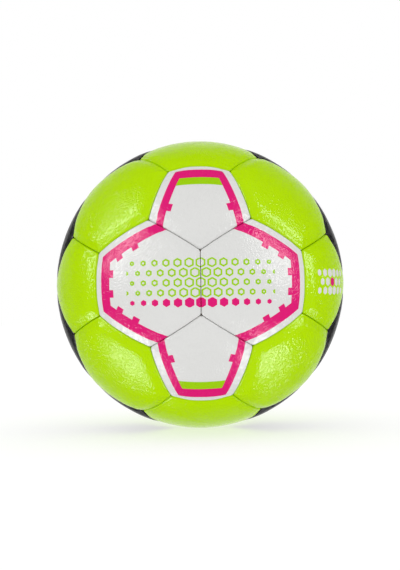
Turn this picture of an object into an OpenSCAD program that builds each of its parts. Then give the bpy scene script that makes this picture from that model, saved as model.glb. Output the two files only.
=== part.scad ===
// Handball sewn from 12 pentagons and 20 hexagons, each panel a leather skin
// with rolled, turned-in and punched edges over a foam and a fabric pad.
// Millimetres, centre of the ball at the origin, front -Y, right +X, top +Z.

/* [Body] */
// Diameter over the crowns of the panels
ball_d = 188; // [150:1:230]
// Space between two neighbouring panels in a seam
seam_gap = 0.3; // [0.1:0.05:0.6]

/* [Cover] */
// Thickness of the leather sheet, on the crown and in the turned-in flanges
cover_t = 1.5; // [0.9:0.1:2]
// Outer radius of the roll with which the sheet turns in at a seam
edge_r = 2.4; // [2:0.1:3]
// Angle of the faint crease where the roll meets the crown and the flange
edge_crease = 12; // [6:1:20]
// Radius of the notch that parts two flanges at a panel corner
notch_r = 2.6; // [1.8:0.1:3.2]
// Height of flange that is left standing between a notch and the roll above it
notch_lip = 0.5; // [0.3:0.1:1]

/* [Padding] */
// Thickness of the foam pad under the leather
foam_t = 2.4; // [1.8:0.1:4]
// Thickness of the laminated fabric lining under the foam
lining_t = 1.2; // [0.8:0.1:2]
// Space left between two layers
layer_gap = 0.1; // [0.05:0.05:0.2]

/* [Stitching] */
// Diameter of the sewing thread where it passes through the flanges
thread_d = 0.8; // [0.5:0.05:1]
// Width that the thread gains where it is pulled flat along a flange
thread_spread = 0.3; // [0.2:0.05:0.4]
// Space round the thread in a punched hole and along a flange
thread_clearance = 0.1; // [0.05:0.05:0.2]
// Distance from one stitch to the next
stitch_pitch = 4.1; // [3:0.1:6]

/* [Bladder] */
// Wall of the rubber bladder
bladder_t = 1.5; // [0.8:0.1:2]
// Space between the bladder and the linings round it
bladder_gap = 0.3; // [0.1:0.05:0.6]

/* [Valve] */
// Diameter of the valve nose that stands in the hole of its panel
nose_d = 8.6; // [7:0.1:12]
// Depth of the nose's face below the crown
nose_recess = 0.5; // [0.2:0.1:1]
// Space between the nose and the edge of the hole in the leather
nose_clearance = 0.2; // [0.1:0.05:0.4]
// Diameter of the flange under the bladder wall
foot_d = 24; // [18:0.5:30]
// Thickness of that flange
foot_t = 1.2; // [0.8:0.1:2]
// Diameter of the valve body inside the bladder
body_d = 12; // [10:0.5:16]
// Length of the valve body inside the bladder
body_l = 9; // [7:0.5:14]
// Diameter of the reinforcing patch outside the bladder
patch_d = 26; // [18:0.5:30]
// Diameter of the soft core pressed into the nose
core_d = 4.4; // [3.6:0.1:5]
// Diameter of the core's head
core_head_d = 6; // [5.4:0.1:6.6]
// Thickness of the core's head
core_head_t = 1.4; // [1:0.1:2]
// Length of the core with its head
core_l = 11; // [9:0.5:12]
// Diameter of the duct that grips the inflating needle
needle_d = 2.3; // [1.8:0.1:2.6]
// Depth of that duct
needle_l = 7; // [5:0.5:8]
// Width of the lead-in at the mouth of the duct
mouth_d = 3.4; // [3:0.1:3.8]
// Depth of the lead-in
mouth_t = 0.8; // [0.5:0.1:1.2]
// Diameter of the air duct below the core
air_d = 1.4; // [1:0.1:2]
// Space between two bonded or pressed rubber pieces
bond_gap = 0.05; // [0.05:0.01:0.1]

/* [Hidden] */
$fn = 96;
white = [0.90, 0.90, 0.89];
green = [0.66, 0.84, 0.05];
black = [0.13, 0.13, 0.14];
foam_grey = [0.80, 0.80, 0.78];
cloth_cream = [0.88, 0.84, 0.74];
thread_white = [0.93, 0.92, 0.88];
rubber_tan = [0.78, 0.55, 0.32];
rubber_black = [0.16, 0.16, 0.17];

// Overrun of every cut past the face it cuts
cut = 1;

// Layers from the crown inwards
ball_r = ball_d/2;
foam_r = ball_r - cover_t - layer_gap;
lining_r = foam_r - foam_t - layer_gap;
flange_r = lining_r - lining_t;
bladder_r = flange_r - bladder_gap;
air_r = bladder_r - bladder_t;
foot_r = air_r - bond_gap;

// Stitches run half way down the flat of the flanges; the pads keep clear of them
stitch_r = (ball_r - edge_r + flange_r)/2;
flat_w = thread_d + thread_spread;
flat_t = thread_d - thread_spread/2;
rail_off = seam_gap/2 + cover_t + thread_clearance + flat_t/2;
pad_off = rail_off + flat_t/2 + thread_clearance;
hole_d = thread_d + 2*thread_clearance;

// Regular truncated icosahedron, its edge taken as 1
golden = (1 + sqrt(5))/2;
corner_ratio = sqrt(58 + 18*sqrt(5))/4;
seam_angle = 2*asin(1/(2*corner_ratio));
function rim(sides) = 1/(2*sin(180/sides));
function reach(sides) =
    atan(rim(sides)*cos(180/sides)/sqrt(pow(corner_ratio, 2) - pow(rim(sides), 2)));
function corner_reach(sides) = asin(rim(sides)/corner_ratio);

// Whole stitches that fit a seam between the notches at its ends
stitch_step = stitch_pitch/stitch_r*180/PI;
stitch_room = seam_angle - 2*(notch_r + hole_d)/stitch_r*180/PI;
stitches = floor(stitch_room/stitch_step) + 1;

// Roll of an edge, in the plane through the ball's centre and across the seam
roll_off = seam_gap/2 + edge_r*cos(edge_crease);
roll_r = sqrt(pow(ball_r - edge_r*cos(edge_crease), 2) - pow(roll_off, 2));
roll_angle = seam_angle + 2*(edge_r + cut)/ball_r*180/PI;

// Shares of a panel's axis that must lie front to back for its colour
white_share = 0.7;
green_share = 0.1;

// Space between the pads and what passes through their holes
pad_clearance = 0.5;

// Valve pieces along the axis of their panel
nose_z = ball_r - nose_recess;
core_z = nose_z - core_l;
body_z = foot_r - foot_t - body_l;

// Panels as [name, axis, axis of the neighbour across seam 0], named by where
// they lie: the word for the larger part of the axis comes first
signs = [-1, 1];
function side(s) = s < 0 ? "left" : "right";
function depth(s) = s < 0 ? "front" : "back";
function height(s) = s < 0 ? "bottom" : "top";
function label(first, second, shape) = str(first, "_", second, "_", shape);
pentagons = [for (s = signs, t = signs) each [
    [label(depth(s), height(t), "pentagon"), [0, s*golden, t], [0, s, t*golden*golden]],
    [label(side(s), depth(t), "pentagon"), [s*golden, t, 0], [s, t*golden*golden, 0]],
    [label(height(s), side(t), "pentagon"), [t, 0, s*golden], [t*golden*golden, 0, s]]]];
twin_hexagons = [for (s = signs, t = signs) each [
    [label(depth(s), side(t), "hexagon"), [t, s*golden*golden, 0], [-t, s*golden*golden, 0]],
    [label(height(s), depth(t), "hexagon"), [0, t, s*golden*golden], [0, -t, s*golden*golden]],
    [label(side(s), height(t), "hexagon"), [s*golden*golden, 0, t], [s*golden*golden, 0, -t]]]];
corner_hexagons = [for (s = signs, t = signs, u = signs)
    [label(depth(s), height(t), str(side(u), "_hexagon")), [u, s, t], [u, s*golden*golden, 0]]];

valve_panel = "left_bottom_hexagon";
valve_seat = [for (p = twin_hexagons) if (p[0] == valve_panel) p][0];

// Colour of a panel: white at the front and back, black round the middle
function panel_colour(axis) =
    let (y = abs(axis[1])/norm(axis)) y > white_share ? white : y > green_share ? green : black;

// Stands children at a panel: local z along its axis, local x towards seam 0
module at_panel(panel) {
    axis = panel[1]/norm(panel[1]);
    across = panel[2] - (panel[2]*axis)*axis;
    x = across/norm(across);
    y = cross(axis, x);
    multmatrix([[x[0], y[0], axis[0], 0], [x[1], y[1], axis[1], 0],
                [x[2], y[2], axis[2], 0], [0, 0, 0, 1]]) children();
}

// Stands children at a seam of a panel: local x out through the seam's middle,
// local y along it, local z square to it and into the panel
module at_seam(k, sides) {
    rotate([0, reach(sides) - 90, k*360/sides]) children();
}

// Stands children along the axis of each corner of a panel
module at_corners(sides) {
    for (k = [0:sides - 1])
        rotate([0, 0, (k + 0.5)*360/sides]) rotate([0, corner_reach(sides), 0]) children();
}

// Stands children at each stitch of a seam, in the seam's own frame
module at_stitches() {
    for (i = [0:stitches - 1])
        rotate([0, 0, (i - (stitches - 1)/2)*stitch_step]) translate([stitch_r, 0, 0]) children();
}

// Shell between two radii
module shell(outer, inner) {
    difference() {
        sphere(outer);
        sphere(inner);
    }
}

// Room of one panel: all that lies further than inset inside its seam planes
module room(sides, inset) {
    intersection_for (k = [0:sides - 1])
        at_seam(k, sides) translate([-ball_d, -ball_d, inset]) cube(2*ball_d);
}

// Leather of one panel with square edges: the crown and a flange at each seam
module tray(sides) {
    difference() {
        intersection() {
            shell(ball_r, flange_r);
            room(sides, seam_gap/2);
        }
        intersection() {
            sphere(ball_r - cover_t);
            room(sides, seam_gap/2 + cover_t);
        }
    }
}

// Cuts one edge of a panel to its roll
module edge_cutter() {
    rotate([0, 0, -roll_angle/2]) rotate_extrude(angle = roll_angle) difference() {
        polygon([[roll_r, -cut], [ball_r + cut, -cut],
                 [ball_r + cut, roll_off*(ball_r + cut)/roll_r], [roll_r, roll_off]]);
        translate([roll_r, roll_off]) circle(edge_r);
    }
}

// Tray with its first edges rolled, one after the other
module rolled_tray(sides, edges) {
    difference() {
        if (edges == 1) tray(sides); else rolled_tray(sides, edges - 1);
        at_seam(edges - 1, sides) edge_cutter();
    }
}

// Leather skin of one panel
module skin(sides) {
    difference() {
        rolled_tray(sides, sides);
        at_corners(sides) translate([0, 0, flange_r - cut])
            cylinder(r = notch_r, h = ball_r - edge_r - notch_lip - flange_r + cut);
        for (k = [0:sides - 1]) at_seam(k, sides) at_stitches()
            cylinder(d = hole_d, h = 2*(cover_t + cut), center = true, $fn = 24);
    }
}

// One layer of padding inside the flanges of a panel
module pad(sides, outer, inner) {
    intersection() {
        shell(outer, inner);
        room(sides, pad_off);
    }
}

// Saddle stitch of one seam: a thread down each side and a rung in each hole
module saddle_stitch() {
    sweep = stitch_step*(stitches - 1) + 2*flat_w/stitch_r*180/PI;
    for (s = signs) rotate([0, 0, -sweep/2]) rotate_extrude(angle = sweep)
        translate([stitch_r, s*rail_off]) square([flat_w, flat_t], center = true);
    at_stitches() cylinder(d = thread_d, h = 2*rail_off, center = true, $fn = 24);
}

module leather_panel(panel, sides) {
    color(panel_colour(panel[1])) at_panel(panel) {
        if (panel[0] == valve_panel) difference() {
            skin(sides);
            cylinder(d = nose_d + 2*nose_clearance, h = ball_d);
        }
        else skin(sides);
    }
}

module foams(panels, sides) {
    color(foam_grey) for (p = panels) at_panel(p) {
        if (p[0] == valve_panel) difference() {
            pad(sides, foam_r, foam_r - foam_t);
            cylinder(d = nose_d + 2*pad_clearance, h = ball_d);
        }
        else pad(sides, foam_r, foam_r - foam_t);
    }
}

module linings(panels, sides) {
    color(cloth_cream) for (p = panels) at_panel(p) {
        if (p[0] == valve_panel) difference() {
            pad(sides, lining_r, lining_r - lining_t);
            cylinder(d = patch_d + 2*pad_clearance, h = ball_d);
        }
        else pad(sides, lining_r, lining_r - lining_t);
    }
}

module pentagon_seam_threads() {
    color(thread_white) for (p = pentagons) at_panel(p)
        for (k = [0:4]) at_seam(k, 5) saddle_stitch();
}

// Seams between two hexagons: seam 0 of one twin of each pair, and the three
// even seams of each corner hexagon
module hexagon_seam_threads() {
    color(thread_white) {
        for (p = twin_hexagons) if (p[2]*[1, 1, 1] < p[1]*[1, 1, 1])
            at_panel(p) at_seam(0, 6) saddle_stitch();
        for (p = corner_hexagons) at_panel(p)
            for (k = [0, 2, 4]) at_seam(k, 6) saddle_stitch();
    }
}

module bladder() {
    color(rubber_tan) difference() {
        shell(bladder_r, air_r);
        at_panel(valve_seat) cylinder(d = nose_d + 2*bond_gap, h = ball_d);
    }
}

// Ring bonded on the bladder round the nose, in the hole of the lining
module valve_patch() {
    color(rubber_black) at_panel(valve_seat) intersection() {
        shell(lining_r, bladder_r + bond_gap);
        difference() {
            cylinder(d = patch_d, h = ball_d);
            cylinder(d = nose_d + 2*bond_gap, h = ball_d);
        }
    }
}

// Nose, foot flange and body as one moulding with a stepped bore for the core
module valve_housing() {
    color(rubber_black) at_panel(valve_seat) difference() {
        union() {
            intersection() {
                shell(foot_r, foot_r - foot_t);
                cylinder(d = foot_d, h = ball_d);
            }
            translate([0, 0, body_z]) cylinder(d = body_d, h = foot_r - foot_t/2 - body_z);
            translate([0, 0, body_z]) cylinder(d = nose_d, h = nose_z - body_z);
        }
        translate([0, 0, core_z - bond_gap]) cylinder(d = core_d + 2*bond_gap, h = ball_d);
        translate([0, 0, nose_z - core_head_t - bond_gap])
            cylinder(d = core_head_d + 2*bond_gap, h = ball_d);
        translate([0, 0, body_z - cut]) cylinder(d = air_d, h = ball_d);
    }
}

// Soft plug with a head, a duct that grips the needle and a lead-in
module valve_core() {
    color(rubber_black) at_panel(valve_seat) translate([0, 0, nose_z]) rotate_extrude()
        polygon([[0, -core_l], [core_d/2, -core_l], [core_d/2, -core_head_t],
                 [core_head_d/2, -core_head_t], [core_head_d/2, 0], [mouth_d/2, 0],
                 [needle_d/2, -mouth_t], [needle_d/2, -mouth_t - needle_l],
                 [0, -mouth_t - needle_l]]);
}

for (p = pentagons) leather_panel(p, 5);
for (p = concat(twin_hexagons, corner_hexagons))
    leather_panel(p, 6);
foams(pentagons, 5);  // pentagon_foams
foams(concat(twin_hexagons, corner_hexagons), 6);  // hexagon_foams
linings(pentagons, 5);  // pentagon_linings
linings(concat(twin_hexagons, corner_hexagons), 6);  // hexagon_linings
pentagon_seam_threads();
hexagon_seam_threads();
bladder();
valve_patch();
valve_housing();
valve_core();
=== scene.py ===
import bpy
import math
from mathutils import Matrix, Vector


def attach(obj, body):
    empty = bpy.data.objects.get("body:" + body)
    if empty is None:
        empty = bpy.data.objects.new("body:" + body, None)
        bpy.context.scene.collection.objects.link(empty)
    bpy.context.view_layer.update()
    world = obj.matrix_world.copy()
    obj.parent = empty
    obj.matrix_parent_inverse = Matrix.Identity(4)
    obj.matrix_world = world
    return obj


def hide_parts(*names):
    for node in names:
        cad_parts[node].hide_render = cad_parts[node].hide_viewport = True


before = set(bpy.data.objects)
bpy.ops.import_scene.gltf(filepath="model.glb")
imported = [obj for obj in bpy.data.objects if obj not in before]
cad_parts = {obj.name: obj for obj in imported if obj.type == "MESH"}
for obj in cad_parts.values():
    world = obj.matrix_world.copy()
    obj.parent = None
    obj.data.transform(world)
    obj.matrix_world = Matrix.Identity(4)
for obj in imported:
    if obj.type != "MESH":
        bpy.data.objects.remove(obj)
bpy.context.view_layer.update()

# Studio: a ball stands on a pale table in front of a white room. A long lens looks
# at it square on, and four soft boxes at the sides give the leather its gloss.
MM = 0.001
BALL_R = 94 * MM


def add(tree, kind, links={}, **settings):
    """Adds a node; a link or a socket's value goes by the socket's name or number."""
    made = tree.nodes.new(kind)
    for name, value in settings.items():
        setattr(made, name, value)
    for socket, value in links.items():
        if isinstance(value, bpy.types.NodeSocket):
            tree.links.new(value, made.inputs[socket])
        else:
            made.inputs[socket].default_value = value
    return made


def new_material(name):
    """A material and its node tree, still empty."""
    made = bpy.data.materials.new(name)
    made.use_nodes = True
    made.node_tree.nodes.clear()
    return made, made.node_tree


def deselect():
    if bpy.context.mode != "OBJECT":
        bpy.ops.object.mode_set(mode="OBJECT")
    bpy.ops.object.select_all(action="DESELECT")


deselect()
bpy.context.scene.view_settings.view_transform = "Standard"

# The camera stands 667 mm from the centre and is tilted and rolled by under a degree.
EYE = Vector((-0.002946, -0.667033, -0.010211))
EYE_RIGHT = Vector((0.999888, -0.004196, -0.014377))
EYE_UP = Vector((0.014311, -0.015368, 0.999779))
bpy.ops.object.camera_add()
camera = bpy.context.object
camera.name = "camera"
camera.data.sensor_fit = "VERTICAL"
camera.data.sensor_height = 36
camera.data.sensor_width = 36
camera.data.lens = 63.8
camera.data.shift_x = -0.00017
camera.data.shift_y = -0.00035
eye_axes = Matrix((EYE_RIGHT, EYE_UP, EYE_RIGHT.cross(EYE_UP))).transposed()
camera.matrix_world = Matrix.Translation(EYE) @ eye_axes.to_4x4()
bpy.context.scene.camera = camera

# The room is white to the eye and in the light that it gives. What the lacquer mirrors
# is the white sheet behind the ball, which fades out at the cosine SHEET_EDGE from
# straight behind, and darkness on the camera's side.
ROOM_LIGHT = 1.07
SHEET_EDGE = 0.68
room = bpy.data.worlds.new("white_room")
bpy.context.scene.world = room
room.use_nodes = True
room.cycles.sampling_method = "NONE"
tree = room.node_tree
tree.nodes.clear()
ray = add(tree, "ShaderNodeLightPath")
level = add(tree, "ShaderNodeMapRange",
            {"Value": ray.outputs["Is Camera Ray"], "To Min": ROOM_LIGHT, "To Max": 1.0})
outlook = add(tree, "ShaderNodeTexCoord")
behind = add(tree, "ShaderNodeVectorMath",
             {0: outlook.outputs["Generated"], 1: (0, 1, 0)}, operation="DOT_PRODUCT")
sheet = add(tree, "ShaderNodeMapRange",
            {"Value": behind.outputs["Value"], "From Min": SHEET_EDGE},
            interpolation_type="SMOOTHSTEP")
level = add(tree, "ShaderNodeMix",
            {"Factor": ray.outputs["Is Glossy Ray"], "A": level.outputs[0],
             "B": sheet.outputs[0]})
sky = add(tree, "ShaderNodeBackground", {"Color": (1, 1, 1, 1), "Strength": level.outputs[0]})
add(tree, "ShaderNodeOutputWorld", {"Surface": sky.outputs[0]})

# The table is white laminate. A glow brings it up to the white of the room, so that only
# the ball's shadow shows on it, and it neither lights the leather nor mirrors in it.
TABLE_SIZE = 6
TABLE_GREY = 0.4
TABLE_GLOW = 0.62
bpy.ops.mesh.primitive_plane_add(size=TABLE_SIZE, location=(0, 0, -BALL_R))
table = bpy.context.object
table.name = "table_top"
bpy.ops.object.transform_apply(location=True, rotation=True, scale=True)
table.visible_glossy = False
table.visible_diffuse = False
table.visible_shadow = False
table_white, tree = new_material("white_laminate_table")
ray = add(tree, "ShaderNodeLightPath")
laminate = add(tree, "ShaderNodeBsdfDiffuse", {"Color": [TABLE_GREY] * 3 + [1]})
glow = add(tree, "ShaderNodeMath", {0: ray.outputs["Is Camera Ray"], 1: TABLE_GLOW},
           operation="MULTIPLY")
fill = add(tree, "ShaderNodeEmission", {"Color": (1, 1, 1, 1), "Strength": glow.outputs[0]})
top = add(tree, "ShaderNodeAddShader", {0: laminate.outputs[0], 1: fill.outputs[0]})
add(tree, "ShaderNodeOutputMaterial", {"Surface": top.outputs[0]})
table.data.materials.append(table_white)

# Soft boxes as (name, direction from the ball, length round it, width, brightness). The
# table lets the low ones through, and they add gloss only, so that the leather keeps its
# plain colour. A box's power is pi times its brightness times its area.
BOX_DISTANCE = 0.9
for name, towards, length, width, bright in (
        ("box_upper_left", (-0.81, -0.35, 0.47), 0.7, 0.32, 6.8),
        ("box_lower_left", (-0.67, -0.15, -0.73), 0.38, 0.36, 6.8),
        ("box_lower_right", (0.65, -0.19, -0.73), 0.38, 0.36, 6.6),
        ("box_upper_right", (0.81, -0.47, 0.36), 0.7, 0.32, 6)):
    out = Vector(towards).normalized()
    round_ball = out.cross((0, 1, 0)).normalized()
    bpy.ops.object.light_add(type="AREA", location=out * BOX_DISTANCE)
    box = bpy.context.object
    box.name = name
    box.rotation_euler = Matrix((round_ball, out.cross(round_ball), out)).transposed().to_euler()
    box.data.shape = "RECTANGLE"
    box.data.size = length
    box.data.size_y = width
    box.data.energy = bright * math.pi * length * width
    box.visible_diffuse = False
    box.visible_camera = False

# Leather panels: 12 pentagons and 20 hexagons of polyurethane leather, each cut flat,
# turned in at its edges and sewn to its neighbours from the inside, so that every
# edge rolls into the seam and puckers a little where a stitch pulls on it.
LEATHER_T = 1.5 * MM
SEAM_HALF = 0.1 * MM
ROLL = 1.3 * MM
CORNER_ROUND = 2.3 * MM
FLANGE_R = 90 * MM
STITCH = 4.1 * MM
STITCHES = 8
VALVE_HOLE = 4.5 * MM
LINING_HOLE = 14 * MM
PAD_OFF = 3 * MM
SMOOTH_ANGLE = math.radians(50)

# A panel's mesh: how close points are merged, the outermost ring, the rings within that
# as shares of it, the one that ends the lining round the valve and how far it shrinks
# when it is stretched over the ball, and the share of the ball where the flanges turn in.
MERGE = 0.001 * MM
RING_IN = 1.5 * ROLL
RING_SHARES = (0.965, 0.93, 0.89, 0.84, 0.78, 0.71, 0.63, 0.54, 0.44, 0.33, 0.22, 0.12)
LINING_RING_SHARE = 0.44
RING_SLACK_SHARE = 0.98
TURN_SHARE = 0.972
# Pulls of the thread as (depth, reach), how near its middle the leather is gripped, and
# how far off the seam a stitch shows
SEAM_PULLS = ((0.3 * MM, 12 * MM), (0.5 * MM, 5 * MM))
CORNER_PULL = (0.45 * MM, 9 * MM)
STITCH_PULL = (0.18 * MM, 1.7 * MM)
SEAM_GRIP = 0.9 * MM
CORNER_GRIP = 2.6 * MM
STITCH_GRIP = 0.9 * MM
STITCH_OFF = 2.632 * MM
# Rise of a crown as (where it starts, how wide it is), off the seam
RISES = {"crown": (2 * MM, 8 * MM), "puff": (1 * MM, 5 * MM)}

# The ball is a truncated icosahedron: the distance of its corners in seam lengths
CORNER_RATIO = (58 + 18 * 5 ** 0.5) ** 0.5 / 4


def edit(mode, action="SELECT"):
    """Opens the active piece with all of it selected, or nothing."""
    bpy.ops.object.mode_set(mode="EDIT")
    bpy.ops.mesh.select_mode(type=mode)
    bpy.ops.mesh.select_all(action=action)


def pick(piece, rule, kind="vertices"):
    """Selects what the rule picks by place, and nothing else."""
    edit({"vertices": "VERT", "edges": "EDGE"}[kind], "DESELECT")
    bpy.ops.object.mode_set(mode="OBJECT")
    for part in getattr(piece.data, kind):
        part.select = rule(part)
    bpy.ops.object.mode_set(mode="EDIT")


def near(grip, *spots):
    """Rule for the points over or under spots of the ball, which are unit vectors."""
    return lambda v: min((v.co.normalized() - spot).length for spot in spots) * BALL_R < grip


def apply(piece, kind, **settings):
    """Adds a modifier with its settings and applies it."""
    made = piece.modifiers.new(kind.lower(), kind)
    for name, value in settings.items():
        setattr(made, name, value)
    bpy.context.view_layer.objects.active = piece
    bpy.ops.object.modifier_apply(modifier=made.name)


def stretch_over(piece, radius, group=""):
    """Moves the points of a piece, or of a group of it, straight onto a ball."""
    apply(piece, "CAST", cast_type="SPHERE", factor=1, radius=0, size=radius,
          use_radius_as_size=False, vertex_group=group)


def corner_reach(sides):
    """Angle at the ball's centre from a panel's axis to its corners."""
    return math.asin(1 / (2 * math.sin(math.pi / sides)) / CORNER_RATIO)


def seam_reach(sides):
    """Angle at the ball's centre from a panel's axis to the middle of its seams."""
    return math.atan(math.tan(corner_reach(sides)) * math.cos(math.pi / sides))


def seam_planes(sides):
    """Inward normals of the planes in which a panel's seams lie, seam 0 towards +X."""
    reach = seam_reach(sides)
    turns = [k * 2 * math.pi / sides for k in range(sides)]
    return [Vector((-math.cos(reach) * math.cos(a), -math.cos(reach) * math.sin(a),
                    math.sin(reach))) for a in turns]


def leather_master(sides, hole=0.0):
    """One panel, its axis along +Z and the middle of its first seam towards +X."""
    planes = seam_planes(sides)
    height = BALL_R * math.cos(corner_reach(sides))
    corner = BALL_R * math.sin(corner_reach(sides))

    def off_seam(p):
        return min(p.dot(n) for n in planes)

    def shrink(share):
        bpy.ops.transform.resize(value=(share, share, 1), center_override=(0, 0, height))

    # Flat cut of the panel with rounded corners and a point at each quarter stitch
    deselect()
    bpy.ops.mesh.primitive_circle_add(
        vertices=sides, radius=corner, fill_type="NGON", location=(0, 0, height),
        rotation=(0, 0, math.pi / sides - math.pi / 2))
    panel = bpy.context.object
    bpy.ops.object.transform_apply(location=True, rotation=True, scale=True)
    edit("VERT")
    shrink(1 - SEAM_HALF / math.cos(math.pi / sides) / corner)
    bpy.ops.mesh.bevel(offset=CORNER_ROUND * math.tan(math.pi / sides), offset_type="OFFSET",
                       segments=4, affect="VERTICES", profile=0.5)
    bpy.ops.object.mode_set(mode="OBJECT")
    ends = [[panel.data.vertices[i].co for i in e.vertices] for e in panel.data.edges]
    lengths = [(a - b).length for a, b in ends]
    longest = max(lengths)
    pick(panel, lambda e: lengths[e.index] > longest / 2, "edges")
    bpy.ops.mesh.subdivide(number_cuts=round(longest / STITCH * 4) - 1)

    def to_circle(radius):
        bpy.ops.transform.tosphere(value=1)
        bpy.ops.object.mode_set(mode="OBJECT")
        ring = [v.co for v in panel.data.vertices if v.select]
        reach = (ring[0] - Vector((0, 0, height))).length
        bpy.ops.object.mode_set(mode="EDIT")
        shrink(radius * height / BALL_R / reach)

    # Crown in rings towards the middle
    edit("FACE")
    bpy.ops.mesh.inset(thickness=RING_IN, depth=0)
    bpy.ops.mesh.delete(type="ONLY_FACE")
    bpy.ops.object.mode_set(mode="OBJECT")
    inner = {v.index for v in panel.data.vertices if off_seam(v.co) > SEAM_HALF + RING_IN / 2}
    pick(panel, lambda v: v.index in inner)
    for before, after in zip((1,) + RING_SHARES, RING_SHARES):
        bpy.ops.mesh.extrude_edges_move()
        shrink(after / before)
        if hole and after == LINING_RING_SHARE:
            to_circle(LINING_HOLE)
    if hole:
        to_circle(hole)
    else:
        bpy.ops.mesh.edge_face_add()
        bpy.ops.mesh.poke()
    bpy.ops.object.mode_set(mode="OBJECT")
    stretch_over(panel, BALL_R)

    # Edges turned in to flanges and rolled
    faces_at = {}
    for p in panel.data.polygons:
        for key in p.edge_keys:
            faces_at[key] = faces_at.get(key, 0) + 1
    outer = {key for key, count in faces_at.items() if count == 1
             and Vector(panel.data.vertices[key[0]].co).xy.length > corner / 2}
    pick(panel, lambda e: tuple(sorted(e.vertices)) in outer, "edges")
    for share in (TURN_SHARE, FLANGE_R / BALL_R / TURN_SHARE):
        bpy.ops.mesh.extrude_edges_move()
        bpy.ops.transform.resize(value=(share,) * 3, center_override=(0, 0, 0))
    pick(panel, lambda e: tuple(sorted(e.vertices)) in outer, "edges")
    bpy.ops.mesh.bevel(offset=ROLL, offset_type="OFFSET", segments=6, profile=0.5,
                       affect="EDGES", clamp_overlap=False)

    # Pulled down along the seams, more at the corners, and at every stitch
    def pull(rule, depth, reach):
        pick(panel, rule)
        share = 1 - depth / BALL_R
        bpy.ops.transform.resize(
            value=(share,) * 3, center_override=(0, 0, 0), use_proportional_edit=True,
            proportional_edit_falloff="SMOOTH", proportional_size=reach)

    turns = [(k + 0.5) * 2 * math.pi / sides for k in range(sides)]
    corners = [Vector((corner * math.cos(a), corner * math.sin(a), height)) / BALL_R
               for a in turns]
    stitches = []
    for n in planes:
        out = Vector((-n.x, -n.y, 0)).normalized()
        middle = (out - out.dot(n) * n).normalized()
        along = n.cross(middle)
        for i in range(STITCHES):
            turn = (i - (STITCHES - 1) / 2) * STITCH / BALL_R
            stitches.append(middle * math.cos(turn) + along * math.sin(turn)
                            + n * STITCH_OFF / BALL_R)
    for depth, reach in SEAM_PULLS:
        pull(lambda v: off_seam(v.co) < SEAM_GRIP, depth, reach)
    pull(near(CORNER_GRIP, *corners), *CORNER_PULL)
    pull(near(STITCH_GRIP, *stitches), *STITCH_PULL)

    edit("VERT")
    bpy.ops.mesh.remove_doubles(threshold=MERGE)
    bpy.ops.mesh.normals_make_consistent(inside=False)
    bpy.ops.object.mode_set(mode="OBJECT")

    # Shares of the crown that later steps move, and what lies over the pad and lining
    groups = {name: panel.vertex_groups.new(name=name)
              for name in ("crown", "puff", "foam", "lining")}
    for v in panel.data.vertices:
        off = off_seam(v.co)
        for name, (start, width) in RISES.items():
            groups[name].add([v.index], min(max((off - start) / width, 0), 1), "REPLACE")
        if off > PAD_OFF:
            groups["foam"].add([v.index], 1, "REPLACE")
            if not hole or v.co.xy.length > LINING_HOLE * RING_SLACK_SHARE:
                groups["lining"].add([v.index], 1, "REPLACE")
    cut = panel.data.uv_layers.new(name="cut")
    for loop in panel.data.loops:
        cut.data[loop.index].uv = panel.data.vertices[loop.vertex_index].co.xy
    return panel


masters = {"pentagon": leather_master(5), "hexagon": leather_master(6),
           "valve": leather_master(6, hole=VALVE_HOLE)}

# Each panel's name says where it lies; the second axis is that of the neighbour
# across its first seam.
GOLDEN = (1 + 5 ** 0.5) / 2
SQUARE = GOLDEN ** 2
SIDES = {"pentagon": 5, "hexagon": 6}
signs = (-1, 1)
side = {-1: "left", 1: "right"}
depth = {-1: "front", 1: "back"}
height = {-1: "bottom", 1: "top"}
panels = []
for s in signs:
    for t in signs:
        panels += [
            (f"{depth[s]}_{height[t]}_pentagon", (0, s * GOLDEN, t), (0, s, t * SQUARE)),
            (f"{side[s]}_{depth[t]}_pentagon", (s * GOLDEN, t, 0), (s, t * SQUARE, 0)),
            (f"{height[s]}_{side[t]}_pentagon", (t, 0, s * GOLDEN), (t * SQUARE, 0, s)),
            (f"{depth[s]}_{side[t]}_hexagon", (t, s * SQUARE, 0), (-t, s * SQUARE, 0)),
            (f"{height[s]}_{depth[t]}_hexagon", (0, t, s * SQUARE), (0, -t, s * SQUARE)),
            (f"{side[s]}_{height[t]}_hexagon", (s * SQUARE, 0, t), (s * SQUARE, 0, -t))]
        for u in signs:
            panels.append((f"{depth[s]}_{height[t]}_{side[u]}_hexagon", (u, s, t),
                           (u, s * SQUARE, 0)))


def shape_of(name):
    return name.split("_")[-1]


def standing(axis, neighbour):
    """Turns a master's +Z to the axis and its +X towards the neighbour."""
    z = Vector(axis).normalized()
    x = Vector(neighbour)
    x = (x - x.dot(z) * z).normalized()
    return Matrix((x, z.cross(x), z)).transposed().to_4x4()


# The leather's face is a lacquered film, embossed with creases 0.3 mm wide. They are
# drawn 1.25 mm wide, three times as long and slanting, so that they show. Prints are
# inked under the lacquer, so they share its grain and gloss.
WHITE, WHITE_SHADE = "DFDFDD", "DADAD8"
GREEN, GREEN_SHADE = "B6E302", "B1DD00"
BLACK, BLACK_SHADE = "121215", "17171B"
PINK, DEEP_GREEN = "DE1C74", "9CCE0E"
GRAIN = 1.25 * MM
GRAIN_STRETCH = (3, 1, 1)
GRAIN_TURN = (0, -0.88, 0)
GRAIN_DEPTH = 0.15 * MM
CREASE_SHARE = 0.3
CREASES_TO_WRINKLES = 0.6
GRAIN_BEND, BEND_SIZE = 12 * MM, 25 * MM
WRINKLE = 3.33 * MM
POLISH_SIZE = 28.6 * MM
CLOUD = 45.5 * MM


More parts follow.
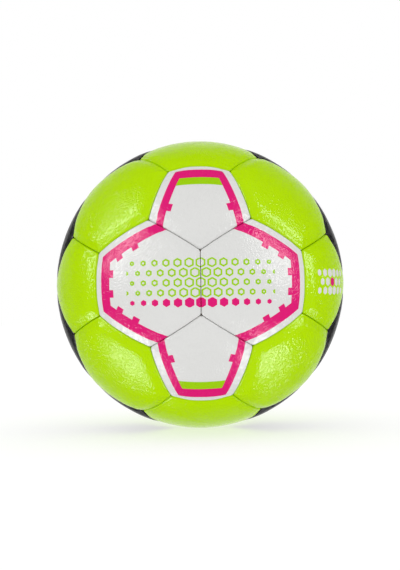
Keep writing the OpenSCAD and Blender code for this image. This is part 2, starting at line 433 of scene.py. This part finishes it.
def colour(code):
    """sRGB hex to linear RGBA."""
    parts = [int(code[i:i + 2], 16) / 255 for i in (0, 2, 4)]
    return [p / 12.92 if p <= 0.04045 else ((p + 0.055) / 1.055) ** 2.4 for p in parts] + [1]


def leather(name, paint, polished=0.09, worn=0.15):
    """A lacquered leather. Paint makes the colour from the place on the ball; polished
    and worn are the roughness of its brightest and its dullest patches."""
    made, tree = new_material(name)
    place = add(tree, "ShaderNodeTexCoord").outputs["Object"]
    hue = paint(tree, place)
    flow = add(tree, "ShaderNodeTexNoise", {"Vector": place, "Scale": 1 / BEND_SIZE, "Detail": 1})
    drift = add(tree, "ShaderNodeVectorMath",
                {0: flow.outputs["Color"], 1: [GRAIN_BEND] * 3, 2: place},
                operation="MULTIPLY_ADD")
    stretched = add(tree, "ShaderNodeMapping",
                    {"Vector": drift.outputs[0], "Rotation": GRAIN_TURN,
                     "Scale": GRAIN_STRETCH}, vector_type="TEXTURE")
    creases = add(tree, "ShaderNodeTexVoronoi",
                  {"Vector": stretched.outputs[0], "Scale": 1 / GRAIN},
                  feature="DISTANCE_TO_EDGE")
    cells = add(tree, "ShaderNodeMapRange",
                {"Value": creases.outputs["Distance"], "From Max": CREASE_SHARE},
                interpolation_type="SMOOTHSTEP")
    wrinkles = add(tree, "ShaderNodeTexNoise",
                   {"Vector": place, "Scale": 1 / WRINKLE, "Detail": 2, "Roughness": 0.6})
    relief = add(tree, "ShaderNodeMath",
                 {0: cells.outputs[0], 1: CREASES_TO_WRINKLES, 2: wrinkles.outputs["Fac"]},
                 operation="MULTIPLY_ADD")
    grain = add(tree, "ShaderNodeBump",
                {"Height": relief.outputs[0], "Strength": 1.0, "Distance": GRAIN_DEPTH})
    patches = add(tree, "ShaderNodeTexNoise",
                  {"Vector": place, "Scale": 1 / POLISH_SIZE, "Detail": 4})
    polish = add(tree, "ShaderNodeMapRange",
                 {"Value": patches.outputs["Fac"], "To Min": polished, "To Max": worn})
    face = add(tree, "ShaderNodeBsdfPrincipled",
               {"Base Color": hue, "Roughness": polish.outputs[0], "IOR": 1.47,
                "Normal": grain.outputs[0]})
    add(tree, "ShaderNodeOutputMaterial", {"Surface": face.outputs[0]})
    return made


def plain(code, shade):
    """One colour that the lacquer varies by a few per cent in soft patches."""
    def paint(tree, place):
        clouds = add(tree, "ShaderNodeTexNoise", {"Vector": place, "Scale": 1 / CLOUD, "Detail": 3})
        return add(tree, "ShaderNodeMix",
                   {"Factor": clouds.outputs["Fac"], "A": colour(code), "B": colour(shade)},
                   data_type="RGBA").outputs["Result"]
    return paint


def seam_of(axis, neighbour, sides):
    """A seam's inward normal and the direction along it."""
    a, b = Vector(axis).normalized(), Vector(neighbour)
    out = (b - b.dot(a) * a).normalized()
    reach = seam_reach(sides)
    inward = a * math.sin(reach) - out * math.cos(reach)
    return inward, inward.cross(a * math.cos(reach) + out * math.sin(reach))


def printed(base, folded, straight, steps, inks):
    """A print in mm: distances from planes, folded or not by the ball's symmetry, then
    steps of arithmetic on them, then inks laid over the base where a step gives 1."""
    def paint(tree, place):
        known = {}
        fold = add(tree, "ShaderNodeVectorMath", {0: place}, operation="ABSOLUTE").outputs[0]
        for source, names in ((fold, folded), (place, straight)):
            for name, normal in names.items():
                known[name] = add(tree, "ShaderNodeVectorMath",
                                  {0: source, 1: Vector(normal) / MM},
                                  operation="DOT_PRODUCT").outputs["Value"]
        for name, operation, *values in steps:
            values = {i: known.get(v, v) for i, v in enumerate(values)}
            known[name] = add(tree, "ShaderNodeMath", values, operation=operation).outputs[0]
        hue = base(tree, place)
        for mask, code in inks:
            hue = add(tree, "ShaderNodeMix", {"Factor": known[mask], "A": hue, "B": colour(code)},
                      data_type="RGBA").outputs["Result"]
        return hue
    return paint


def honeycomb(pitch, width, size, shrink, far_x, far_z):
    """Steps of a field of hexagon cells: rows a pitch apart, cells a width apart, half
    their size in the middle and what it loses each mm along x, and how far they go."""
    return (("row_at", "DIVIDE", "z", pitch), ("row_mid", "ADD", "row_at", 0.5),
            ("row", "FLOOR", "row_mid"), ("odd", "FLOORED_MODULO", "row", 2),
            ("shifted", "MULTIPLY_ADD", "odd", width / 2, "x"),
            ("off_x", "PINGPONG", "shifted", width / 2), ("off_z", "PINGPONG", "z", pitch / 2),
            ("slope_z", "MULTIPLY", "off_z", 3 ** 0.5 / 2),
            ("slope", "MULTIPLY_ADD", "off_x", 0.5, "slope_z"),
            ("off", "MAXIMUM", "off_x", "slope"),
            ("cell_size", "MULTIPLY_ADD", "x", -shrink, size),
            ("full", "LESS_THAN", "off", "cell_size"),
            ("near_x", "LESS_THAN", "x", far_x), ("near_z", "COMPARE", "z", 0, far_z),
            ("near", "MULTIPLY", "near_x", "near_z"), ("cell", "MULTIPLY", "full", "near"))


# White pentagon: a pink stripe inside a white rim along its three outer edges, with a
# green bar under the outermost one and a tab at the inner end of each side.
side_seam, side_along = seam_of((0, GOLDEN, 1), (1, 1, 1), 5)
outer_seam, outer_along = seam_of((0, GOLDEN, 1), (0, 1, SQUARE), 5)
side_along *= math.copysign(1, side_along.dot(Vector((0, 1, SQUARE))))
pentagon_print = printed(
    plain(WHITE, WHITE_SHADE), {"side": side_seam, "outer": outer_seam, "along": side_along}, {},
    (("side_band", "LESS_THAN", "side", 10.6), ("outer_band", "LESS_THAN", "outer", 10.5),
     ("bar", "LESS_THAN", "outer", 16.4),
     ("tab_place", "COMPARE", "along", -10.5, 2.5), ("tab_depth", "LESS_THAN", "side", 13.2),
     ("tab", "MULTIPLY", "tab_place", "tab_depth"),
     ("stripe", "MAXIMUM", "side_band", "outer_band"), ("pink", "MAXIMUM", "stripe", "tab"),
     ("side_rim", "LESS_THAN", "side", 5.7), ("outer_rim", "LESS_THAN", "outer", 2.9),
     ("rim", "MAXIMUM", "side_rim", "outer_rim")),
    (("bar", DEEP_GREEN), ("pink", PINK), ("rim", WHITE)))

# White hexagon: the same stripe with two tabs along each edge, and a honeycomb of open
# green cells, with one row of full pink cells, where the two hexagons meet.
upper_seam, upper_along = seam_of((1, SQUARE, 0), (1, 1, 1), 6)
end_seam, end_along = seam_of((1, SQUARE, 0), (GOLDEN, 1, 0), 6)
hexagon_print = printed(
    plain(WHITE, WHITE_SHADE),
    {"upper": upper_seam, "end": end_seam, "along": upper_along,
     "x": (1, 0, 0), "end_along": (0, 0, 1)}, {"z": (0, 0, 1)},
    (("edge", "MINIMUM", "upper", "end"), ("band", "LESS_THAN", "edge", 12.0),
     ("along_size", "ABSOLUTE", "along"), ("upper_place", "COMPARE", "along_size", 5.8, 2.2),
     ("upper_depth", "LESS_THAN", "upper", 14.7),
     ("upper_tab", "MULTIPLY", "upper_place", "upper_depth"),
     ("end_place", "COMPARE", "end_along", 5.8, 2.2), ("end_depth", "LESS_THAN", "end", 14.7),
     ("end_tab", "MULTIPLY", "end_place", "end_depth"),
     ("tab", "MAXIMUM", "upper_tab", "end_tab"), ("stripe", "MAXIMUM", "band", "tab"),
     ("rim", "LESS_THAN", "edge", 5.4),
     *honeycomb(pitch=5.7, width=6.6, size=2.95, shrink=0.042, far_x=43, far_z=14.2),
     ("hollow_size", "SUBTRACT", "cell_size", 1.0),
     ("hollow", "GREATER_THAN", "off", "hollow_size"), ("low", "LESS_THAN", "z", -8.55),
     ("pink_cell", "MULTIPLY", "cell", "low"), ("open_cell", "MULTIPLY", "cell", "hollow")),
    (("stripe", PINK), ("rim", WHITE), ("open_cell", DEEP_GREEN), ("pink_cell", PINK)))

# Two of the green pentagons carry three rows of white cells round one pink one.
motif_print = printed(
    plain(GREEN, GREEN_SHADE), {}, {"u": Vector((1, GOLDEN, 0)).normalized(), "z": (0, 0, 1)},
    (("x", "ABSOLUTE", "u"),
     *honeycomb(pitch=5.4, width=6.2, size=2.7, shrink=0.06, far_x=17, far_z=8.0),
     ("mid_x", "LESS_THAN", "x", 3), ("mid_z", "COMPARE", "z", 0, 2.7),
     ("mid", "MULTIPLY", "mid_x", "mid_z"), ("mid_cell", "MULTIPLY", "cell", "mid")),
    (("cell", WHITE), ("mid_cell", PINK)))

MOTIF_PANELS = ("right_front_pentagon", "left_back_pentagon")
finishes = {
    "white_pentagon": leather("white_pu_leather_pentagon_print", pentagon_print),
    "white_hexagon": leather("white_pu_leather_hexagon_print", hexagon_print),
    "green": leather("green_pu_leather", plain(GREEN, GREEN_SHADE)),
    "green_motif": leather("green_pu_leather_cell_print", motif_print),
    "black": leather("black_pu_leather", plain(BLACK, BLACK_SHADE), polished=0.28, worn=0.36)}

# Panels that lean this far to the front or back are white or green, the others black.
WHITE_LEAN = 0.7
GREEN_LEAN = 0.1


def tone(axis):
    lean = abs(axis[1]) / Vector(axis).length
    return "white" if lean > WHITE_LEAN else "green" if lean > GREEN_LEAN else "black"


# The seams as (panels, middle, direction across). Where a panel is cut and sewn a little
# full, its seam bows out into the darker neighbour by BOW: green panels into black ones
# and white pentagons into the green panel over or under them. So does the corner where a
# green panel meets two black ones. A bow is (point of the ball, direction across).
NEIGHBOUR_ANGLE = math.radians(43)
SHARED_CORNER_ANGLE = math.radians(25)
BOW = 2 * MM
CORNER_BOW = 2.6 * MM
BOW_REACH = 18 * MM
MIDDLE_GRIP = 4 * MM
seams = []
bows = {name: [] for name, _, _ in panels}
light_to_dark = ("white", "green", "black")
for i, first in enumerate(panels):
    for second in panels[i + 1:]:
        if Vector(first[1]).angle(Vector(second[1])) > NEIGHBOUR_ANGLE:
            continue
        one, two = sorted((first, second), key=lambda p: light_to_dark.index(tone(p[1])))
        a, b = Vector(one[1]).normalized(), Vector(two[1]).normalized()
        out = (b - b.dot(a) * a).normalized()
        reach = seam_reach(SIDES[shape_of(one[0])])
        middle = a * math.cos(reach) + out * math.sin(reach)
        across = out * math.cos(reach) - a * math.sin(reach)
        seams.append((one[0], two[0], middle, across))
        tones = (tone(one[1]), tone(two[1]))
        if tones == ("green", "black") or (
                tones == ("white", "green") and one[1][0] == 0 == two[1][0]):
            bows[one[0]].append((middle, across))
            bows[two[0]].append((middle, across))

corner_bows = {name: [] for name, _, _ in panels}
for name, axis, _ in panels:
    dark = [seam for seam in seams if seam[0] == name and seam[2:] in bows[name]]
    if tone(axis) == "green" and dark[0][2].angle(dark[-1][2]) < SHARED_CORNER_ANGLE:
        corner = dark[0][3].cross(dark[1][3]).normalized()
        corner *= math.copysign(1, corner.dot(dark[0][2]))
        away = (corner * corner.dot(Vector(axis)) - Vector(axis)).normalized()
        for sewn_in in (name, dark[0][1], dark[1][1]):
            corner_bows[sewn_in].append((corner, away))


def move_out(piece, rule, way):
    pick(piece, rule)
    bpy.ops.transform.translate(
        value=way, use_proportional_edit=True, proportional_edit_falloff="SMOOTH",
        proportional_size=BOW_REACH)
    bpy.ops.object.mode_set(mode="OBJECT")


def bow_all(piece, name):
    """Bows a panel's seams and corners."""
    for middle, across in bows[name]:
        by_middle = near(MIDDLE_GRIP, middle)
        move_out(piece, lambda v: abs(v.co.dot(across)) < SEAM_GRIP and by_middle(v),
                 across * BOW)
    for corner, away in corner_bows[name]:
        move_out(piece, near(CORNER_GRIP, corner), away * CORNER_BOW)


def copy_of(piece, name):
    deselect()
    piece.select_set(True)
    bpy.context.view_layer.objects.active = piece
    bpy.ops.object.duplicate()
    bpy.context.object.name = name
    return bpy.context.object


# Hand sewing and the pad under it leave each crown a little uneven, and the green
# panels at the sides stand a little fuller than the black ones round the middle and
# the twins at the top and bottom.
LUMP = 0.2 * MM
LUMP_SIZE = 16 * MM
PUFFS = {"white": 0.1 * MM, "green": 0.9 * MM, "black": -0.35 * MM}
TOP_PUFF = -0.2 * MM
BOTTOM_PUFF = -0.45 * MM
lumps = bpy.data.textures.new("sewn_lumps", "CLOUDS")
lumps.noise_scale = LUMP_SIZE
lumps.noise_depth = 1


def puff(axis):
    """How far a panel's crown stands proud of the ball."""
    x, _, z = axis
    if tone(axis) == "green" and x == 0:
        return TOP_PUFF if z > 0 else BOTTOM_PUFF
    return PUFFS[tone(axis)]


VALVE_PANEL = "left_bottom_hexagon"
leathers = {}
for name, axis, neighbour in panels:
    piece = copy_of(masters["valve" if name == VALVE_PANEL else shape_of(name)],
                    name + "_leather")
    piece.matrix_world = standing(axis, neighbour)
    bpy.ops.object.transform_apply(location=True, rotation=True, scale=True)
    bow_all(piece, name)
    apply(piece, "DISPLACE", strength=puff(axis), mid_level=0, vertex_group="puff")
    apply(piece, "DISPLACE", strength=LUMP, mid_level=0.5, vertex_group="crown",
          texture=lumps, texture_coords="LOCAL")
    leathers[name] = piece

for master in masters.values():
    bpy.data.objects.remove(master)

# Bladder: dipped latex, 1.5 mm thick, with the faint ridge where the former's halves
# met and a hole for the valve's nose. It lies loose inside and is pumped tight.
VALVE_AXIS = Vector((-SQUARE, 0, -1)).normalized()
BLADDER_R = 88.4 * MM
BLADDER_T = 1.5 * MM
RIDGE_SHARE = 1.0015
NOSE_HOLE = 4.35 * MM
POLE_ANGLE = math.radians(1)
TOUCH = 0.01 * MM


def dress(piece, material, node):
    """Gives a piece its material and slot, and puts it in the place of a CAD node."""
    piece.data.materials.clear()
    piece.data.materials.append(material)
    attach(piece, "root")
    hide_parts(node)


deselect()
bpy.ops.mesh.primitive_uv_sphere_add(
    segments=96, ring_count=56, radius=BLADDER_R,
    rotation=VALVE_AXIS.to_track_quat("Z", "Y").to_euler())
bladder = bpy.context.object
bladder.name = "latex_bladder"
bpy.ops.object.transform_apply(location=True, rotation=True, scale=True)
pick(bladder, lambda v: abs(v.co.dot(VALVE_AXIS)) < TOUCH)
bpy.ops.transform.resize(value=(RIDGE_SHARE,) * 3, center_override=(0, 0, 0))
pick(bladder, lambda v: v.co.dot(VALVE_AXIS) > BLADDER_R * math.cos(POLE_ANGLE))
bpy.ops.mesh.delete(type="VERT")
bpy.ops.object.mode_set(mode="OBJECT")
ring = max(bladder.data.vertices, key=lambda v: v.co.dot(VALVE_AXIS)).co
ring_height = ring.dot(VALVE_AXIS)
wide = (ring - ring_height * VALVE_AXIS).length
pick(bladder, lambda v: v.co.dot(VALVE_AXIS) > ring_height - TOUCH)
bpy.ops.transform.resize(value=(NOSE_HOLE / wide,) * 3,
                         center_override=VALVE_AXIS * ring_height)
bpy.ops.object.mode_set(mode="OBJECT")
apply(bladder, "SOLIDIFY", thickness=BLADDER_T, offset=-1)
bpy.ops.object.shade_smooth_by_angle(angle=SMOOTH_ANGLE)

# Natural latex, dipped and cured: honey-coloured and cloudy, dulled by grains of talc
# that are drawn a millimetre wide so that they show.
LATEX_CLOUD = 22 * MM
TALC = 1.1 * MM
latex, tree = new_material("talced_natural_latex")
place = add(tree, "ShaderNodeTexCoord").outputs["Object"]
clouds = add(tree, "ShaderNodeTexNoise", {"Vector": place, "Scale": 1 / LATEX_CLOUD, "Detail": 5})
talc = add(tree, "ShaderNodeTexNoise", {"Vector": place, "Scale": 1 / TALC, "Detail": 2})
hue = add(tree, "ShaderNodeMix",
          {"Factor": clouds.outputs["Fac"], "A": colour("BF8A50"), "B": colour("D2A468")},
          data_type="RGBA")
dull = add(tree, "ShaderNodeMapRange",
           {"Value": clouds.outputs["Fac"], "To Min": 0.4, "To Max": 0.65})
relief = add(tree, "ShaderNodeBump",
             {"Height": talc.outputs["Fac"], "Strength": 0.4, "Distance": 0.1 * MM})
face = add(tree, "ShaderNodeBsdfPrincipled",
           {"Base Color": hue.outputs["Result"], "Roughness": dull.outputs[0], "IOR": 1.52,
            "Normal": relief.outputs[0]})
add(tree, "ShaderNodeOutputMaterial", {"Surface": face.outputs[0]})
dress(bladder, latex, "bladder")

# Foam pads: closed-cell foam 2.25 mm thick, die-cut to the panel less its flanges and
# glued to the back of the leather. They are squeezed thinner towards the seams.
FOAM_OUT = 92.25 * MM
FOAM_IN = 90 * MM
LAYER_DETAIL_SHARE = 0.35


def under_layer(name, group, level):
    """Sheet under the leather of a panel: what the group covers, at its own level."""
    layer = copy_of(leathers[name], name + "_" + group)
    layer.vertex_groups.active_index = layer.vertex_groups[group].index
    edit("VERT", "DESELECT")
    bpy.ops.object.vertex_group_select()
    bpy.ops.mesh.select_all(action="INVERT")
    bpy.ops.mesh.delete(type="VERT")
    bpy.ops.mesh.select_all(action="SELECT")
    bpy.ops.mesh.delete_loose(use_verts=True, use_edges=True, use_faces=False)
    bpy.ops.mesh.select_all(action="SELECT")
    bpy.ops.transform.resize(value=(level / BALL_R,) * 3, center_override=(0, 0, 0))
    bpy.ops.object.mode_set(mode="OBJECT")
    apply(layer, "DECIMATE", ratio=LAYER_DETAIL_SHARE)
    return layer


def joined(pieces, name):
    deselect()
    for piece in pieces:
        piece.select_set(True)
    bpy.context.view_layer.objects.active = pieces[0]
    bpy.ops.object.join()
    pieces[0].name = name
    pieces[0].vertex_groups.clear()
    return pieces[0]


def foam_pad(name):
    pad = under_layer(name, "foam", FOAM_OUT)
    pad.vertex_groups.new(name="inside")
    apply(pad, "SOLIDIFY", thickness=FOAM_OUT - FOAM_IN, offset=-1,
          shell_vertex_group="inside")
    stretch_over(pad, FOAM_IN, "inside")
    return pad


names_of = {shape: [name for name, _, _ in panels if shape_of(name) == shape]
            for shape in SIDES}
foams = {shape: joined([foam_pad(name) for name in names], shape + "_foam_pads")
         for shape, names in names_of.items()}

# Closed-cell EVA foam, sliced from a block: matt and pale, with cut bubbles of under a
# millimetre on its skin, drawn 1.2 mm wide so that they show.
BUBBLE = 1.2 * MM
FOAM_CLOUD = 17 * MM
eva, tree = new_material("closed_cell_eva_foam")
place = add(tree, "ShaderNodeTexCoord").outputs["Object"]
bubbles = add(tree, "ShaderNodeTexVoronoi", {"Vector": place, "Scale": 1 / BUBBLE})
clouds = add(tree, "ShaderNodeTexNoise", {"Vector": place, "Scale": 1 / FOAM_CLOUD, "Detail": 3})
hue = add(tree, "ShaderNodeMix",
          {"Factor": clouds.outputs["Fac"], "A": colour("D0D0CB"), "B": colour("C4C4BE")},
          data_type="RGBA")
relief = add(tree, "ShaderNodeBump",
             {"Height": bubbles.outputs["Distance"], "Strength": 0.7, "Distance": 0.2 * MM})
face = add(tree, "ShaderNodeBsdfPrincipled",
           {"Base Color": hue.outputs["Result"], "Roughness": 0.85, "IOR": 1.48,
            "Normal": relief.outputs[0]})
add(tree, "ShaderNodeOutputMaterial", {"Surface": face.outputs[0]})

for shape, piece in foams.items():
    dress(piece, eva, shape + "_foams")

# Linings: three or four layers of cotton and polyester cloth glued together, cut like
# the pad and glued to it. They keep the panel from stretching and lie on the bladder.
LINING_R = 89.9 * MM
LINING_T = 1.2 * MM


def lining(name):
    cloth = under_layer(name, "lining", LINING_R)
    stretch_over(cloth, LINING_R)
    apply(cloth, "SOLIDIFY", thickness=LINING_T, offset=-1)
    return cloth


linings = {shape: joined([lining(name) for name in names], shape + "_cloth_linings")
           for shape, names in names_of.items()}

# Laminated cloth: a plain weave in cream, stiff with glue. Threads lie 0.5 mm apart,
# drawn 0.9 mm so that they show.
THREAD_STEP = 0.9 * MM
cloth, tree = new_material("laminated_cotton_polyester_cloth")
cut = add(tree, "ShaderNodeUVMap", uv_map="cut")
turns = add(tree, "ShaderNodeVectorMath",
            {0: cut.outputs[0], "Scale": math.pi / THREAD_STEP}, operation="SCALE")
split = add(tree, "ShaderNodeSeparateXYZ", {0: turns.outputs[0]})
warp = add(tree, "ShaderNodeMath", {0: split.outputs["X"]}, operation="SINE")
weft = add(tree, "ShaderNodeMath", {0: split.outputs["Y"]}, operation="SINE")
warp_top = add(tree, "ShaderNodeMath", {0: warp.outputs[0]}, operation="ABSOLUTE")
weft_top = add(tree, "ShaderNodeMath", {0: weft.outputs[0]}, operation="ABSOLUTE")
side_of = add(tree, "ShaderNodeMath", {0: warp.outputs[0], 1: weft.outputs[0]},
              operation="MULTIPLY")
over = add(tree, "ShaderNodeMath", {0: side_of.outputs[0], 1: 0}, operation="GREATER_THAN")
crossing = add(tree, "ShaderNodeMix",
               {"Factor": over.outputs[0], "A": warp_top.outputs[0], "B": weft_top.outputs[0]})
# The cream is paler on the raised threads and darker in the hollows between them: painted shade,
# taken from the same height as the bump.
hue = add(tree, "ShaderNodeMix",
          {"Factor": crossing.outputs[0], "A": colour("CDBFA0"), "B": colour("E6DCC4")},
          data_type="RGBA")
relief = add(tree, "ShaderNodeBump",
             {"Height": crossing.outputs[0], "Strength": 0.8, "Distance": 0.2 * MM})
face = add(tree, "ShaderNodeBsdfPrincipled",
           {"Base Color": hue.outputs["Result"], "Roughness": 0.8, "Sheen Weight": 0.2,
            "Normal": relief.outputs[0]})
add(tree, "ShaderNodeOutputMaterial", {"Surface": face.outputs[0]})

# All linings of a shape are cut from one cloth, given with the area of the cuts in it
for shape, flat, area in (("pentagon", (0.16, 0.21), 0.0245), ("hexagon", (0.25, 0.34), 0.0655)):
    dress(linings[shape], cloth, shape + "_linings")

# Seam threads: waxed polyester, two needles through each punched hole, so that a strand
# goes down each side of the two flanges and changes sides at every hole.
STITCH_R = 89.9 * MM
STRAND_R = 0.22 * MM
STRAND_APART = 0.2 * MM
RAIL = 2.1 * MM
HOLE_RAIL = 1.26 * MM
HOLE_RUN = 0.5 * MM
END_GRIP = 6 * MM
SEAM_END = 20 * MM


def strand(start):
    """One needle's way through the holes of a seam that lies along Y, middle at +X."""
    bpy.ops.curve.primitive_nurbs_path_add()
    thread = bpy.context.object
    way = []
    for i in range(STITCHES):
        s = start * (-1) ** i
        at = (i - (STITCHES - 1) / 2) * STITCH
        way += [(at - HOLE_RUN, s * RAIL), (at, s * HOLE_RAIL), (at, -s * HOLE_RAIL),
                (at + HOLE_RUN, -s * RAIL)]
    spline = thread.data.splines[0]
    spline.points.add(len(way) - len(spline.points))
    r = STITCH_R + start * STRAND_APART
    for point, (along, off) in zip(spline.points, way):
        point.co = (r * math.cos(along / STITCH_R), r * math.sin(along / STITCH_R), off, 1)
    spline.order_u = 3
    spline.use_endpoint_u = True
    thread.data.resolution_u = 2
    thread.data.bevel_depth = STRAND_R
    thread.data.bevel_resolution = 1
    thread.data.use_fill_caps = True
    bpy.ops.object.convert(target="MESH")
    edit("VERT")
    bpy.ops.mesh.remove_doubles(threshold=MERGE)
    bpy.ops.object.mode_set(mode="OBJECT")
    return bpy.context.object


deselect()
seam_thread = joined([strand(1), strand(-1)], "seam_thread")
sewn = {"pentagon": [], "hexagon": []}
for one, two, middle, across in seams:
    thread = copy_of(seam_thread, "thread")
    thread.matrix_world = Matrix((middle, across.cross(middle), across)).transposed().to_4x4()
    bpy.ops.object.transform_apply(location=True, rotation=True, scale=True)
    if (middle, across) in bows[one]:
        move_out(thread, near(MIDDLE_GRIP, middle), across * BOW)
    for corner, away in corner_bows[one]:
        if (corner - middle).length * BALL_R < SEAM_END:
            move_out(thread, near(END_GRIP, corner), away * CORNER_BOW)
    sewn["pentagon" if "pentagon" in one + two else "hexagon"].append(thread)
bpy.data.objects.remove(seam_thread)

# Waxed thread, twisted from filaments: off-white, its twist drawn as soft diagonal bands
# 0.6 mm apart. A wave of scale 1 turns by 10 radians along each of the three axes.
TWIST = 0.6 * MM
waxed, tree = new_material("waxed_polyester_thread")
place = add(tree, "ShaderNodeTexCoord").outputs["Object"]
twist = add(tree, "ShaderNodeTexWave",
            {"Vector": place, "Scale": 2 * math.pi / (10 * 3 ** 0.5 * TWIST), "Distortion": 1.5},
            bands_direction="DIAGONAL")
# The off-white is paler on the raised strands of the twist and darker in its grooves: painted
# shade, taken from the same bands as the bump.
hue = add(tree, "ShaderNodeMix",
          {"Factor": twist.outputs["Fac"], "A": colour("D9D6C8"), "B": colour("EDEBE0")},
          data_type="RGBA")
relief = add(tree, "ShaderNodeBump",
             {"Height": twist.outputs["Fac"], "Strength": 0.6, "Distance": 0.1 * MM})
face = add(tree, "ShaderNodeBsdfPrincipled",
           {"Base Color": hue.outputs["Result"], "Roughness": 0.45, "Normal": relief.outputs[0]})
add(tree, "ShaderNodeOutputMaterial", {"Surface": face.outputs[0]})

for shape, threads in sewn.items():
    dress(joined(threads, shape + "_saddle_stitches"), waxed, shape + "_seam_threads")

# Leather panels finished: the sheet gets its 1.5 mm wall and its print. Each is cut
# from a flat sheet, given as (width, length, area), and stretched over its pad by the
# sewing: it reaches by the arc over the ball to its seams and 4.2 mm of flange further.
FLAT_CUT = {"pentagon": (0.0698, 0.0734, 0.00354), "hexagon": (0.077, 0.0889, 0.00513)}
for name, axis, _ in panels:
    piece = leathers[name]
    deselect()
    piece.select_set(True)
    bpy.context.view_layer.objects.active = piece
    piece.vertex_groups.clear()
    apply(piece, "SOLIDIFY", thickness=LEATHER_T, offset=-1)
    bpy.ops.object.shade_smooth_by_angle(angle=SMOOTH_ANGLE)
    shape = shape_of(name)
    finish = tone(axis)
    ink = finish + "_" + shape if finish == "white" else finish
    if name in MOTIF_PANELS:
        ink = "green_motif"
    dress(piece, finishes[ink], name)
    width, length, area = FLAT_CUT[shape]

# Valve: a nose with a foot flange and body inside the bladder, a patch bonded round it
# and a soft plug in it, all moulded in black butyl rubber. The CAD shapes are kept.
BUTYL_CLOUD = 6.7 * MM
PIT = 0.67 * MM
butyl, tree = new_material("moulded_butyl_rubber")
place = add(tree, "ShaderNodeTexCoord").outputs["Object"]
clouds = add(tree, "ShaderNodeTexNoise", {"Vector": place, "Scale": 1 / BUTYL_CLOUD, "Detail": 4})
pits = add(tree, "ShaderNodeTexNoise", {"Vector": place, "Scale": 1 / PIT, "Detail": 2})
hue = add(tree, "ShaderNodeMix",
          {"Factor": clouds.outputs["Fac"], "A": colour("232325"), "B": colour("303032")},
          data_type="RGBA")
dull = add(tree, "ShaderNodeMapRange",
           {"Value": clouds.outputs["Fac"], "To Min": 0.45, "To Max": 0.65})
relief = add(tree, "ShaderNodeBump",
             {"Height": pits.outputs["Fac"], "Strength": 0.5, "Distance": 0.1 * MM})
face = add(tree, "ShaderNodeBsdfPrincipled",
           {"Base Color": hue.outputs["Result"], "Roughness": dull.outputs[0], "IOR": 1.52,
            "Normal": relief.outputs[0]})
add(tree, "ShaderNodeOutputMaterial", {"Surface": face.outputs[0]})
for node in ("valve_patch", "valve_housing", "valve_core"):
    for slot in bpy.data.objects[node].material_slots:
        slot.material = butyl
